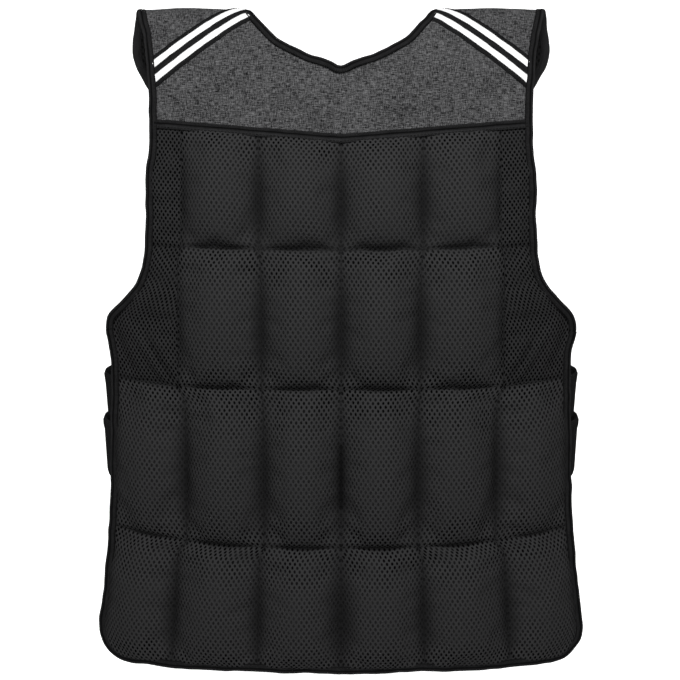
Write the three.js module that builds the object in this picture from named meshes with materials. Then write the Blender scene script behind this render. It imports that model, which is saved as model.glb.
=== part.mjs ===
// Weighted vest: a quilted back and front hung from a yoke over the shoulders, joined by side straps.
// Millimetres, +Z up. The wearer's back faces -Y and the wearer's right is +X.
// The origin lies midway between the shoulders, on the line that rests on them.
import * as THREE from 'three';

// Overall form of the inner face
const vestLength = 619;
const halfWidth = 233;
const halfDepth = 100;
const edgeFall = 47;
const edgePower = 2.5;
const rollDrop = 300;
const hemCorner = 32;
const hemLap = 6;

// Neck
const neckHalf = 90;
const backNeckDrop = 53;
const frontNeckDrop = 84;

// Thicknesses of cloth, pads and tape
const yokeWall = 3.6;
const seamThickness = 5;
const wingThickness = 4;
const padThickness = 25;
const crownAcross = 2.6;
const sagLow = 1.25;
const sagFull = 0.6;
const tapeWidth = 8;
const tapeThickness = 5.6;
const tapeRounding = 0.25;
const tapeInner = 0.8;
const seamTapeWidth = 8.2;

// Clearances between sewn pieces
const gap = 0.5;
const layGap = 0.4;
const bandGap = 0.8;

// Striped bands on the shoulders
const bandWidth = 26;
const bandThickness = 1.2;
const bandAngle = 41.5;
const reflectorWidth = 6;
const reflectorThickness = 0.6;
const reflectorSpacing = 12;
const ridgeCloseness = 1.2;

// Side straps
const strapThickness = 2.6;
const strapBow = 12;
const strapLap = 26;
const strapDip = 1.2;
const strapShoulder = 0.4;
const strapLean = 3.5;
const upperStrapTop = 342.5;
const upperStrapWidth = 43;
const lowerStrapWidth = 54.5;
const strapSpacing = 2;

// Colours and roughness of the cloths
const meshCloth = { color: 0x1b1b1c, roughness: 0.85, metalness: 0 };
const tapeCloth = { color: 0x111112, roughness: 0.75, metalness: 0 };
const yokeCloth = { color: 0x4b4b4d, roughness: 0.9, metalness: 0 };
const reflectiveCloth = { color: 0xe8e8e8, roughness: 0.4, metalness: 0 };
const strapCloth = { color: 0x161617, roughness: 0.8, metalness: 0 };

// Steps of the curved surfaces
const rollSteps = 180;
const cornerSteps = 4;
const edgeSpan = 8;
const tapeSpan = 2;
const neckSpan = 2;
const hemSteps = 14;
const seamSteps = 12;
const bandSteps = 14;
const bandLanes = 4;
const strapSteps = 16;
const wingSteps = 16;
const settleSteps = 4;
const halvings = 30;

// Side edge of each panel from the shoulder down, as shares of vestLength and halfWidth
const wingEdge = [
  { down: 0.3875, half: 0.795 },
  { down: 0.4121, half: 0.825 },
  { down: 0.4374, half: 0.888 },
  { down: 0.4580, half: 0.935 },
  { down: 0.4811, half: 0.948 },
  { down: 0.5182, half: 0.929 },
  { down: 0.6483, half: 0.934 },
  { down: 0.7614, half: 0.944 },
  { down: 0.8909, half: 0.979 },
];
const wingTip = wingEdge[4];
const backEdge = [
  { down: 0.0447, half: 0.796 },
  { down: 0.1086, half: 0.772 },
  { down: 0.1968, half: 0.763 },
  { down: 0.2559, half: 0.777 },
  { down: 0.3250, half: 0.776 },
  ...wingEdge,
];
const frontEdge = [
  { down: 0.0262, half: 0.863 },
  { down: 0.0520, half: 0.878 },
  { down: 0.0760, half: 0.868 },
  { down: 0.1040, half: 0.834 },
  { down: 0.1450, half: 0.778 },
  { down: 0.2050, half: 0.752 },
  { down: 0.3250, half: 0.762 },
  ...wingEdge,
];
const ridgeHalf = 0.841;

// Neck edge from the centre line to the shoulder, as shares of neckHalf and of each neck drop
const backNeck = [
  { across: 0, down: 1 },
  { across: 0.113, down: 0.905 },
  { across: 0.36, down: 0.765 },
  { across: 0.543, down: 0.62 },
  { across: 0.674, down: 0.476 },
  { across: 0.765, down: 0.33 },
  { across: 0.86, down: 0.176 },
  { across: 0.945, down: 0.03 },
];
const frontNeck = [
  { across: 0, down: 1 },
  { across: 0.2, down: 0.97 },
  { across: 0.45, down: 0.86 },
  { across: 0.68, down: 0.67 },
  { across: 0.85, down: 0.43 },
  { across: 0.94, down: 0.2 },
  { across: 0.985, down: 0.05 },
];

// Sewn lines across the panels: depth at the centre, and how far and how late the line rises
// towards the sides, as shares of vestLength
const seams = {
  yoke: { down: 0.193, rise: 0.0303, bend: 1 },
  first: { down: 0.356, rise: 0.010, bend: 2 },
  second: { down: 0.5637, rise: 0.0213, bend: 5 },
  third: { down: 0.805, rise: 0.026, bend: 2.8 },
};

// Columns of pockets, as shares of halfWidth at the top and the bottom of each row
const backRows = [
  { top: 'yoke', bottom: 'first', columns: [[0, 0], [0.324, 0.324], [0.633, 0.633]] },
  { top: 'first', bottom: 'second', columns: [[0, 0], [0.315, 0.315], [0.648, 0.648]] },
  { top: 'second', bottom: 'third', columns: [[0, 0], [0.308, 0.308], [0.622, 0.622], null] },
  { top: 'third', bottom: 'hem', columns: [[0, 0], [0.326, 0.339], [0.654, 0.691], null] },
];
const frontRows = [
  { top: 'yoke', bottom: 'first', columns: [[0, 0], [0.37, 0.37], null] },
  { top: 'first', bottom: 'second', columns: [[0, 0], [0.38, 0.42], null] },
  { top: 'second', bottom: 'third', columns: [[0, 0], [0.46, 0.46], null] },
  { top: 'third', bottom: 'hem', columns: [[0, 0], [0.46, 0.46], null] },
];

// The profile from the shoulder line down: a quarter of an ellipse, then straight down.
// Places on the inner face are (across, run), with run measured along the profile,
// more than zero on the back and less than zero on the front.
const rollDepth = halfDepth - edgeFall / 2;
const rollRuns = [0];
for (let i = 1; i <= rollSteps; i++) {
  const before = ((i - 1) / rollSteps) * (Math.PI / 2);
  const after = (i / rollSteps) * (Math.PI / 2);
  const down = rollDrop * (Math.cos(before) - Math.cos(after));
  const out = rollDepth * (Math.sin(after) - Math.sin(before));
  rollRuns.push(rollRuns[i - 1] + Math.hypot(down, out));
}
const rollRun = rollRuns[rollSteps];

function runAt(drop) {
  if (drop >= rollDrop) return rollRun + drop - rollDrop;
  const turn = (Math.acos(1 - drop / rollDrop) / (Math.PI / 2)) * rollSteps;
  const step = Math.min(Math.floor(turn), rollSteps - 1);
  return THREE.MathUtils.lerp(rollRuns[step], rollRuns[step + 1], turn - step);
}

function turnAt(run) {
  if (run >= rollRun) return Math.PI / 2;
  let step = 0;
  while (rollRuns[step + 1] < run) step++;
  const part = (run - rollRuns[step]) / (rollRuns[step + 1] - rollRuns[step]);
  return ((step + part) / rollSteps) * (Math.PI / 2);
}

function dropAt(run) {
  const size = Math.abs(run);
  return size >= rollRun ? rollDrop + size - rollRun : rollDrop * (1 - Math.cos(turnAt(size)));
}

function depthAt(across) {
  return halfDepth - edgeFall * (Math.abs(across) / halfWidth) ** edgePower;
}

// Point that stands out from the inner face by a distance
function place(across, run, out) {
  const side = run > 0 ? -1 : 1;
  const turn = turnAt(Math.abs(run));
  const swell = Math.sin(turn);
  const depth = depthAt(across);
  const slope = (edgeFall * edgePower * Math.abs(across) ** (edgePower - 1)) / halfWidth ** edgePower;
  const normal = new THREE.Vector3(
    swell * swell * slope * Math.sign(across),
    side * swell,
    (Math.cos(turn) * depth) / rollDrop,
  ).normalize();
  return new THREE.Vector3(across, side * swell * depth, -dropAt(run)).addScaledVector(normal, out);
}

// A closed body through rings of points. The first half of a ring runs along the outer face and the
// second half comes back along the inner face, so that each end closes with a strip.
function loft(rings, joined) {
  const size = rings[0].length;
  const index = [];
  const last = joined ? rings.length : rings.length - 1;
  for (let i = 0; i < last; i++) {
    const here = i * size;
    const next = ((i + 1) % rings.length) * size;
    for (let j = 0; j < size; j++) {
      const k = (j + 1) % size;
      index.push(here + j, next + j, next + k, here + j, next + k, here + k);
    }
  }
  if (!joined) {
    const end = (rings.length - 1) * size;
    for (let j = 0; j < size / 2 - 1; j++) {
      const k = size - 1 - j;
      index.push(j, j + 1, k - 1, j, k - 1, k);
      index.push(end + j + 1, end + j, end + k, end + j + 1, end + k, end + k - 1);
    }
  }
  const points = rings.flat();
  let volume = 0;
  for (let i = 0; i < index.length; i += 3) {
    const [a, b, c] = [points[index[i]], points[index[i + 1]], points[index[i + 2]]];
    volume += a.dot(new THREE.Vector3().crossVectors(b, c));
  }
  if (volume < 0) index.reverse();
  const geometry = new THREE.BufferGeometry().setFromPoints(points);
  geometry.setIndex(index);
  geometry.computeVertexNormals();
  return geometry;
}

// Offset of a line of (across, run) points, to the left of its direction
function offset(points, distance, joined) {
  return points.map((point, i) => {
    const count = points.length;
    const before = joined ? points[(i + count - 1) % count] : points[Math.max(i - 1, 0)];
    const after = joined ? points[(i + 1) % count] : points[Math.min(i + 1, count - 1)];
    const way = new THREE.Vector2().subVectors(after, before).normalize();
    return new THREE.Vector2(point.x - way.y * distance, point.y + way.x * distance);
  });
}

function curvePoints(controls, joined, perSpan) {
  const flat = controls.map(([across, run]) => new THREE.Vector3(across, run, 0));
  const curve = new THREE.CatmullRomCurve3(flat, joined, 'centripetal');
  const spans = joined ? controls.length : controls.length - 1;
  const count = joined ? spans * perSpan : spans * perSpan + 1;
  return Array.from({ length: count }, (_, i) => {
    const point = curve.getPoint(i / (spans * perSpan));
    return new THREE.Vector2(point.x, point.y);
  });
}

// The right-hand edge, from the front hem over the shoulder to the back hem, in its control points
function edgeControls() {
  const corner = [];
  for (let i = 0; i <= cornerSteps; i++) {
    const turn = (i / cornerSteps) * (Math.PI / 2);
    const across = halfWidth - hemCorner * (1 - Math.cos(turn));
    corner.push([across, runAt(vestLength - hemCorner * (1 - Math.sin(turn)))]);
  }
  corner.push([halfWidth - hemCorner - hemLap, runAt(vestLength)]);
  const rows = (table) => table.map((row) => [row.half * halfWidth, runAt(row.down * vestLength)]);
  const front = [...rows(frontEdge), ...corner].map(([across, run]) => [across, -run]).reverse();
  return [...front, [ridgeHalf * halfWidth, 0], ...rows(backEdge), ...corner];
}

// Half width of the panels at a run, inside the edge tape
const insideEdge = offset(curvePoints(edgeControls(), false, edgeSpan), tapeWidth + gap, false);

function panelHalf(run) {
  const limit = runAt(vestLength - hemCorner);
  const clamped = THREE.MathUtils.clamp(run, -limit, limit);
  let i = 1;
  while (i < insideEdge.length - 1 && insideEdge[i].y < clamped) i++;
  const [a, b] = [insideEdge[i - 1], insideEdge[i]];
  const part = THREE.MathUtils.clamp((clamped - a.y) / (b.y - a.y), 0, 1);
  return THREE.MathUtils.lerp(a.x, b.x, part);
}

// Half width where a line across a panel meets the panel's edge
function halfAlong(runOf) {
  let half = panelHalf(runOf(0));
  for (let i = 0; i < settleSteps; i++) half = panelHalf(runOf(half));
  return half;
}

// Depth of a sewn line, or of the hem inside its tape, below the shoulder line
function seamDrop(name, across) {
  if (name === 'hem') {
    const radius = hemCorner - tapeWidth - gap;
    const past = THREE.MathUtils.clamp(Math.abs(across) - (halfWidth - hemCorner), 0, radius);
    return vestLength - hemCorner + Math.sqrt(radius * radius - past * past);
  }
  const seam = seams[name];
  return vestLength * (seam.down - seam.rise * (Math.abs(across) / halfWidth) ** seam.bend);
}

// How far a pad stands out down its height: full, and fullest below its middle
function padSag(down) {
  return Math.max(0, Math.sin(Math.PI * down ** sagLow)) ** sagFull;
}

// A pocket or flat strip between two sewn lines and two columns. A column is a pair of half widths,
// or null for the panel's own edge. Side is 1 for the back and -1 for the front.
function pocket(side, row, inner, outer, hand, thickness, acrossStops, downStops) {
  const topInset = row.top === 'yoke' ? seamTapeWidth / 2 + gap : gap / 2;
  const bottomInset = row.bottom === 'hem' ? 0 : gap / 2;
  const columnAt = (column, down, run) => {
    if (column === null) return panelHalf(run);
    return halfWidth * THREE.MathUtils.lerp(column[0], column[1], down);
  };
  const spot = (part, down) => {
    const nominal = THREE.MathUtils.lerp(seamDrop(row.top, 0), seamDrop(row.bottom, 0), down);
    const guess = (drop) => {
      const run = side * runAt(drop);
      const from = columnAt(inner, down, run) + gap / 2;
      const to = columnAt(outer, down, run) - (outer === null ? 0 : gap / 2);
      return THREE.MathUtils.lerp(from, to, part);
    };
    const first = guess(nominal);
    const drop = (across) => {
      const top = seamDrop(row.top, across) + topInset;
      const bottom = seamDrop(row.bottom, across) - bottomInset;
      return THREE.MathUtils.lerp(top, bottom, down);
    };
    const across = guess(drop(first));
    return [hand * across, side * runAt(drop(across))];
  };
  const rise = thickness - seamThickness;
  const rings = acrossStops.map((part) => {
    const outerFace = [];
    const innerFace = [];
    for (const down of downStops) {
      const [across, run] = spot(part, down);
      const crown = (1 - Math.abs(2 * part - 1) ** crownAcross) * padSag(down);
      const edge = Math.min(thickness, seamThickness);
      outerFace.push(place(across, run, edge + Math.max(rise, 0) * crown));
      innerFace.unshift(place(across, run, 0));
    }
    return [...outerFace, ...innerFace];
  });
  return loft(rings, false);
}

// Stops across and down the pockets, as shares of their width and height, closest where they curve most
const padAcross = [0, 0.14, 0.36, 0.64, 0.86, 1];
const padDown = [0, 0.12, 0.38, 0.68, 0.9, 1];
const plainAcross = [0, 0.18, 0.5, 0.82, 1];
const cornerAcross = [0, 0.14, 0.36, 0.6, 0.78, 0.9, 0.97, 1];
const wingAcross = [0, 0.33, 0.66, 1];
const wingDown = Array.from({ length: wingSteps + 1 }, (_, i) => i / wingSteps);

// Sections of a tape folded over an edge, along (across, run) points with the panel on its left
function tapeRings(points, width) {
  const inside = offset(points, width, true);
  const middle = offset(points, width / 2, true);
  const rounding = tapeThickness * tapeRounding;
  return points.map((point, i) => [
    place(point.x, point.y, tapeThickness - tapeInner - rounding),
    place(middle[i].x, middle[i].y, tapeThickness - tapeInner),
    place(inside[i].x, inside[i].y, tapeThickness - tapeInner - rounding / 2),
    place(inside[i].x, inside[i].y, -tapeInner),
    place(middle[i].x, middle[i].y, -tapeInner),
    place(point.x, point.y, rounding - tapeInner),
  ]);
}

const mirrored = (points) => points.map((point) => new THREE.Vector2(-point.x, point.y)).reverse();

// The neck edge, from the back centre round by the right shoulder, the front and the left shoulder
function neckControls() {
  const back = backNeck.map((row) => [row.across * neckHalf, runAt(row.down * backNeckDrop)]);
  const front = frontNeck.map((row) => [row.across * neckHalf, -runAt(row.down * frontNeckDrop)]);
  const right = [...back, [neckHalf, 0], ...front.reverse()];
  const left = right.slice(1, -1).map(([across, run]) => [-across, run]).reverse();
  return [...right, ...left];
}

const neckEdge = curvePoints(neckControls(), true, neckSpan);
const yokeNeckEdge = offset(neckEdge, tapeWidth + gap, true);

// Neck points on each side of the shoulder line that face the armhole across the yoke
const armholeFacing = { back: 3, front: 4 };

// Stops across the yoke from the neck to its outer edge
const yokeStops = [0, 0.25, 0.5, 0.75, 1];

// The yoke: a ring of cloth between the neck and the armholes and the two yoke seams
function yoke() {
  const seamEdge = (across) => runAt(seamDrop('yoke', across) - seamTapeWidth / 2 - gap);
  const half = neckEdge.length / 2;
  const backCorner = (backNeck.length - armholeFacing.back) * neckSpan;
  const frontCorner = (backNeck.length + armholeFacing.front) * neckSpan;
  const backHalf = halfAlong(seamEdge);
  const frontHalf = halfAlong((across) => -seamEdge(across));
  const outerAt = (i) => {
    const along = i <= half ? i : 2 * half - i;
    const hand = i <= half ? 1 : -1;
    if (along <= backCorner) {
      const across = (along / backCorner) * backHalf;
      return new THREE.Vector2(hand * across, seamEdge(across));
    }
    if (along >= frontCorner) {
      const across = ((half - along) / (half - frontCorner)) * frontHalf;
      return new THREE.Vector2(hand * across, -seamEdge(across));
    }
    const part = (along - backCorner) / (frontCorner - backCorner);
    const run = THREE.MathUtils.lerp(seamEdge(backHalf), -seamEdge(frontHalf), part);
    return new THREE.Vector2(hand * panelHalf(run), run);
  };
  const rings = yokeNeckEdge.map((inner, i) => {
    const outer = outerAt(i);
    const spots = yokeStops.map((part) => new THREE.Vector2().lerpVectors(inner, outer, part));
    const top = spots.map((spot) => place(spot.x, spot.y, yokeWall));
    const under = spots.map((spot) => place(spot.x, spot.y, 0)).reverse();
    return [...top, ...under];
  });
  return loft(rings, true);
}

// A tape across the panels over the yoke seam
function seamTape(side) {
  const half = halfAlong((across) => side * runAt(seamDrop('yoke', across)));
  const rings = [];
  for (let i = 0; i <= seamSteps; i++) {
    const across = half * ((2 * i) / seamSteps - 1);
    const drop = seamDrop('yoke', across);
    const [above, below] = [drop - seamTapeWidth / 2, drop + seamTapeWidth / 2];
    const at = (level, out) => place(across, side * runAt(level), out);
    rings.push([
      at(above, tapeThickness - tapeInner),
      at(drop, tapeThickness - tapeInner / 2),
      at(below, tapeThickness - tapeInner),
      at(below, -tapeInner),
      at(drop, -tapeInner),
      at(above, -tapeInner),
    ]);
  }
  return loft(rings, false);
}

// The edge tape runs all round the vest in four lengths that meet at the wing tips: one round each
// armhole, and one round the lower part of each panel
function edgeTapes() {
  const right = curvePoints(edgeControls(), false, tapeSpan);
  const hem = (side) => Array.from({ length: hemSteps - 1 }, (_, i) => {
    const across = right[0].x * (1 - (2 * (i + 1)) / hemSteps);
    return new THREE.Vector2(side * across, side * runAt(vestLength));
  });
  const rings = tapeRings([...right, ...hem(1), ...mirrored(right), ...hem(-1)], tapeWidth);
  const tipRun = runAt(wingTip.down * vestLength);
  const tip = right.findIndex((point) => Math.abs(point.y + tipRun) < gap);
  const mirrorTip = right.length + hemSteps - 1 + (right.length - 1);
  const backTip = right.findIndex((point) => Math.abs(point.y - tipRun) < gap);
  const cuts = [tip, backTip, mirrorTip - backTip, mirrorTip - tip, tip + rings.length];
  const pulled = (end, next) => end.map((point, j) => {
    return point.clone().lerp(next[j], gap / 2 / point.distanceTo(next[j]));
  });
  return cuts.slice(0, -1).map((cut, i) => {
    const length = [];
    for (let j = cut; j <= cuts[i + 1]; j++) length.push(rings[j % rings.length]);
    const last = length.length - 1;
    const first = pulled(length[0], length[1]);
    const end = pulled(length[last], length[last - 1]);
    return loft([first, ...length.slice(1, -1), end], false);
  });
}

// A strip laid on the yoke from the armhole tape up to the neck tape
function shoulderStrip(hand, shift, width, lift, thickness, lanes) {
  const angle = THREE.MathUtils.degToRad(bandAngle);
  const way = new THREE.Vector2(Math.cos(angle), Math.sin(angle));
  const down = new THREE.Vector2(-way.y, way.x);
  const neckHalfAt = (run) => {
    let i = 1;
    while (yokeNeckEdge[i].y > run) i++;
    const [a, b] = [yokeNeckEdge[i - 1], yokeNeckEdge[i]];
    return THREE.MathUtils.lerp(a.x, b.x, (run - a.y) / (b.y - a.y));
  };
  // Distance along a line at which a test first fails, by halving a span
  const findEnd = (near, far, inside) => {
    let [low, high] = [near, far];
    for (let k = 0; k < halvings; k++) {
      const middle = (low + high) / 2;
      if (inside(middle)) low = middle;
      else high = middle;
    }
    return low;
  };
  const lines = Array.from({ length: lanes + 1 }, (_, i) => {
    const start = new THREE.Vector2(neckHalf, 0).addScaledVector(down, shift + width * (i / lanes - 0.5));
    const at = (distance) => start.clone().addScaledVector(way, distance);
    const neckEnd = findEnd(-neckHalf, neckHalf, (distance) => {
      const spot = at(distance);
      return spot.x < neckHalfAt(spot.y);
    }) + gap;
    const armEnd = findEnd(neckEnd, neckEnd + halfWidth, (distance) => {
      const spot = at(distance);
      return spot.x < panelHalf(spot.y);
    });
    return [at(neckEnd), at(armEnd)];
  });
  const rings = [];
  for (let i = 0; i <= bandSteps; i++) {
    const part = (i / bandSteps) ** ridgeCloseness;
    const spots = lines.map(([from, to]) => new THREE.Vector2().lerpVectors(from, to, part));
    const top = spots.map((spot) => place(hand * spot.x, spot.y, lift + thickness));
    const under = spots.map((spot) => place(hand * spot.x, spot.y, lift)).reverse();
    rings.push([...top, ...under]);
  }
  return loft(rings, false);
}

// An elastic strap that bows out past the side edges and laps inside both panels
function sideStrap(hand, top, width) {
  const middle = runAt(top + width / 2);
  const edge = panelHalf(middle) + tapeWidth + gap;
  const seat = -(tapeInner + layGap + strapThickness / 2);
  const lap = [0, 0.5, 1].map((part) => place(
    edge - THREE.MathUtils.lerp(strapLap, strapThickness, part), middle, seat - strapDip * part));
  const reach = edge + strapBow;
  const under = lap[lap.length - 1];
  const plan = [
    ...lap.map((spot) => new THREE.Vector3(spot.x, spot.y, 0)),
    new THREE.Vector3(reach - strapBow * strapShoulder, under.y * (1 - strapShoulder), 0),
    new THREE.Vector3(reach, 0, 0),
  ];
  const back = plan.slice(0, -1).map((p) => new THREE.Vector3(p.x, -p.y, 0)).reverse();
  const curve = new THREE.CatmullRomCurve3([...plan, ...back], false, 'centripetal');
  const levels = [0, 1];
  const rings = [];
  for (let i = 0; i <= strapSteps; i++) {
    const spot = curve.getPoint(i / strapSteps);
    const way = curve.getTangent(i / strapSteps);
    const out = new THREE.Vector3(-way.y, way.x, 0).multiplyScalar(-strapThickness / 2);
    const free = Math.sqrt(Math.max(0, 1 - Math.abs(spot.y / under.y)));
    const at = (level, face) => new THREE.Vector3(
      hand * (spot.x + face * out.x - free * strapLean * level),
      spot.y + face * out.y,
      -top - width * level,
    );
    rings.push([...levels.map((level) => at(level, 1)), ...levels.map((level) => at(level, -1)).reverse()]);
  }
  return loft(rings, false);
}

const vest = new THREE.Group();

function cloth(name, geometry, kind) {
  const mesh = new THREE.Mesh(geometry, new THREE.MeshStandardMaterial(kind));
  mesh.name = name;
  vest.add(mesh);
}

cloth('yoke', yoke(), yokeCloth);

// Pockets, counted from the left of the photographed side
function panel(name, side, rows) {
  rows.forEach((row, r) => {
    const count = (row.columns.length - 1) * 2;
    for (let c = 1; c < row.columns.length; c++) {
      const cornered = row.bottom === 'hem' && row.columns[c] === null;
      const winged = row.columns[c] === null && row.top === 'first';
      const plain = side > 0 ? padAcross : plainAcross;
      const across = cornered ? cornerAcross : plain;
      const down = winged ? wingDown : padDown;
      for (const hand of [-1, 1]) {
        const number = hand < 0 ? count / 2 + 1 - c : count / 2 + c;
        const geometry = pocket(
          side, row, row.columns[c - 1], row.columns[c], hand, padThickness, across, down);
        cloth(`${name}_pocket_${r + 1}_${number}`, geometry, meshCloth);
      }
    }
  });
}

panel('back', 1, backRows);
panel('front', -1, frontRows);

for (const [hand, word] of [[-1, 'left'], [1, 'right']]) {
  const beside = (name, row, down) => {
    const last = row.columns[row.columns.length - 1];
    const geometry = pocket(1, row, last, null, hand, wingThickness, wingAcross, down);
    cloth(`back_${name}_${word}`, geometry, meshCloth);
  };
  beside('strip', backRows[0], padDown);
  beside('wing', backRows[1], wingDown);

  const lift = yokeWall + bandGap;
  const band = shoulderStrip(hand, 0, bandWidth, lift, bandThickness, bandLanes);
  cloth(`stripe_band_${word}`, band, tapeCloth);
  [-1, 1].forEach((way, i) => {
    const shift = (way * reflectorSpacing) / 2;
    const above = lift + bandThickness + layGap;
    const strip = shoulderStrip(hand, shift, reflectorWidth, above, reflectorThickness, 1);
    cloth(`reflective_tape_${word}_${i + 1}`, strip, reflectiveCloth);
  });

  cloth(`side_strap_upper_${word}`, sideStrap(hand, upperStrapTop, upperStrapWidth), strapCloth);
  const lowerTop = upperStrapTop + upperStrapWidth + strapSpacing;
  cloth(`side_strap_lower_${word}`, sideStrap(hand, lowerTop, lowerStrapWidth), strapCloth);
}

cloth('neck_binding', loft(tapeRings(neckEdge, tapeWidth), true), tapeCloth);
cloth('yoke_seam_binding_back', seamTape(1), tapeCloth);
cloth('yoke_seam_binding_front', seamTape(-1), tapeCloth);
const edgeNames = ['armhole_binding_right', 'hem_binding_back', 'armhole_binding_left', 'hem_binding_front'];
edgeTapes().forEach((tape, i) => cloth(edgeNames[i], tape, tapeCloth));

export default vest;
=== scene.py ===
"""Weighted vest, seen from the back: quilted panels of spacer mesh, a heather yoke, folded tapes,
striped shoulder bands and elastic side straps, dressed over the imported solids."""

import math

import bpy
import numpy as np
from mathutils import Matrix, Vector


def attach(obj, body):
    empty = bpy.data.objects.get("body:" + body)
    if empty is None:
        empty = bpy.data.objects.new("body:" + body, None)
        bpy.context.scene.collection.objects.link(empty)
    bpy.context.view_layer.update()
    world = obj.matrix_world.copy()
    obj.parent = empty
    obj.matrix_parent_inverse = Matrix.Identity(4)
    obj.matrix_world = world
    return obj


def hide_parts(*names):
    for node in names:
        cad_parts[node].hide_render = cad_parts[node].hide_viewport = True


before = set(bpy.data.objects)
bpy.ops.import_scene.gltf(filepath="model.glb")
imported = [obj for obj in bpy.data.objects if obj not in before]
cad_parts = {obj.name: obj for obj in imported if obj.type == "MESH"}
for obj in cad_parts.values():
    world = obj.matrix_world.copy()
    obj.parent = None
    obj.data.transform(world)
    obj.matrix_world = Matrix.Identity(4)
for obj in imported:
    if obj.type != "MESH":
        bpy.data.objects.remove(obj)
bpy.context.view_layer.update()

# Overall form of the inner face, in metres
VEST_LENGTH = 0.619
HALF_WIDTH = 0.233
HALF_DEPTH = 0.100
EDGE_FALL = 0.047
EDGE_POWER = 2.5
ROLL_DROP = 0.300
ROLL_DEPTH = HALF_DEPTH - EDGE_FALL / 2
ROLL_STEPS = 180
HEM_CORNER = 0.032
HEM_LAP = 0.006
HEM_WAVE = 0.0015
TAPE_WAVE = 0.0005

# Neck
NECK_HALF = 0.090
BACK_NECK_DROP = 0.053
FRONT_NECK_DROP = 0.084

# Both sides: sign across, word in the names
HANDS = ((-1, "left"), (1, "right"))

# Cloth and tape
TAPE_WIDTH = 0.008
TAPE_THICKNESS = 0.0056
TAPE_INNER = 0.0008
TAPE_CLOTH = 0.0008
TAPE_SWAY_PERIOD = 0.050
TAPE_LIFT_PERIOD = 0.037
SEAM_TAPE_WIDTH = 0.0082
SEAM_LAP = 0.003
TUCK = 0.0042
EDGE_INSET = TAPE_WIDTH - TUCK
YOKE_WALL = 0.0026
CREST_RISE = 0.0026
CREST_REACH = 0.024
PAD_RISE = 0.0215
SEAM_OUT = 0.0018
EDGE_OUT = 0.0034
LINING_OUT = 0.0004

# Shape of a pad across and down its pocket
CROWN_POWER = 2.1
SAG_LEAN = 1.3
SAG_POWER = 0.52

# Upright seams leave the row above in line and reach their own place this far down their row
COLUMN_SETTLE = 0.014
ROW_HEIGHT = 0.2 * VEST_LENGTH

# Striped bands and their tapes
BAND_WIDTH = 0.026
BAND_THICKNESS = 0.0008
BAND_ANGLE = math.radians(41.5)
BAND_BEND = (0.204, -0.0704, 0.00767)
BAND_BEND_SPAN = (0.0, 0.115)
REFLECTOR_WIDTH = 0.006
REFLECTOR_THICKNESS = 0.0003
REFLECTOR_SPACING = 0.012
BAND_GAP = 0.0004
BAND_LANES = 9
BAND_STEPS = 60
BAND_STITCH_IN = 0.0018
STITCH_LIFT = 0.0001

# Side straps
STRAP_THICKNESS = 0.0024
STRAP_BOW = 0.014
STRAP_LAP = 0.026
STRAP_DIP = 0.0012
STRAP_LAY = 0.0012
STRAP_SHOULDER = 0.4
STRAP_LEAN = 0.0035
UPPER_STRAP_TOP = 0.3425
UPPER_STRAP_WIDTH = 0.043
LOWER_STRAP_WIDTH = 0.0545
STRAP_SPACING = 0.002
STRAP_LANES = 15
STRAP_ROLL = 0.0008
# Rolled ribs near the top: distance from the top, half width
STRAP_ROLLS = [(0.004, 0.0016), (0.0075, 0.0014)]

# Side edges, as shares of the length down from the shoulder and of the half width
WING_EDGE = [
    (0.3875, 0.795), (0.4121, 0.825), (0.4374, 0.888), (0.4580, 0.935), (0.4811, 0.948),
    (0.5182, 0.929), (0.6483, 0.934), (0.7614, 0.944), (0.8909, 0.979),
]
WING_TIP = WING_EDGE[4][0]
BACK_EDGE = [
    (0.0447, 0.796), (0.1086, 0.772), (0.1968, 0.763), (0.2559, 0.777), (0.3250, 0.776),
] + WING_EDGE
FRONT_EDGE = [
    (0.0262, 0.863), (0.0520, 0.878), (0.0760, 0.868), (0.1040, 0.834), (0.1450, 0.778),
    (0.2050, 0.752), (0.3250, 0.762),
] + WING_EDGE
RIDGE_HALF = 0.841

# Neck edge from the centre to the shoulder, as shares of the neck's half width and drop
BACK_NECK = [
    (0, 1), (0.113, 0.905), (0.36, 0.765), (0.543, 0.62), (0.674, 0.476), (0.765, 0.33),
    (0.86, 0.176), (0.945, 0.03),
]
FRONT_NECK = [
    (0, 1), (0.2, 0.97), (0.45, 0.86), (0.68, 0.67), (0.85, 0.43), (0.94, 0.2), (0.985, 0.05),
]

# Sewn lines across the panels: share of the length down at the centre, rise at the side, bend
SEAMS = {
    "yoke": (0.193, 0.0303, 1),
    "first": (0.356, 0.010, 2),
    "second": (0.5637, 0.0213, 5),
    "third": (0.805, 0.026, 2.8),
}

# Rows of pockets: top seam, bottom seam, columns as (top, bottom) shares of the half width,
# how full each column is, and cells down the row
BACK_ROWS = [
    ("yoke", "first", [(0.324, 0.324), (0.633, 0.633)], [1, 0.95, 0.12], 24),
    ("first", "second", [(0.315, 0.315), (0.648, 0.648)], [1, 0.95, 0.14], 30),
    ("second", "third", [(0.308, 0.308), (0.622, 0.622)], [1, 1, 0.85], 34),
    ("third", "hem", [(0.326, 0.339), (0.654, 0.691)], [1, 0.95, 0.8], 28),
]
FRONT_ROWS = [
    ("yoke", "first", [(0.37, 0.37)], [1, 0.9], 20),
    ("first", "second", [(0.38, 0.42)], [1, 0.85], 26),
    ("second", "third", [(0.46, 0.46)], [1, 0.9], 30),
    ("third", "hem", [(0.46, 0.46)], [1, 0.9], 26),
]
BACK_CELLS = 16
FRONT_CELLS = 20

# Painted shade of a slit in a row's middle seam
SLIT_DOWN = (0.33, 0.76)
SLIT_ROW = 2

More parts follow.
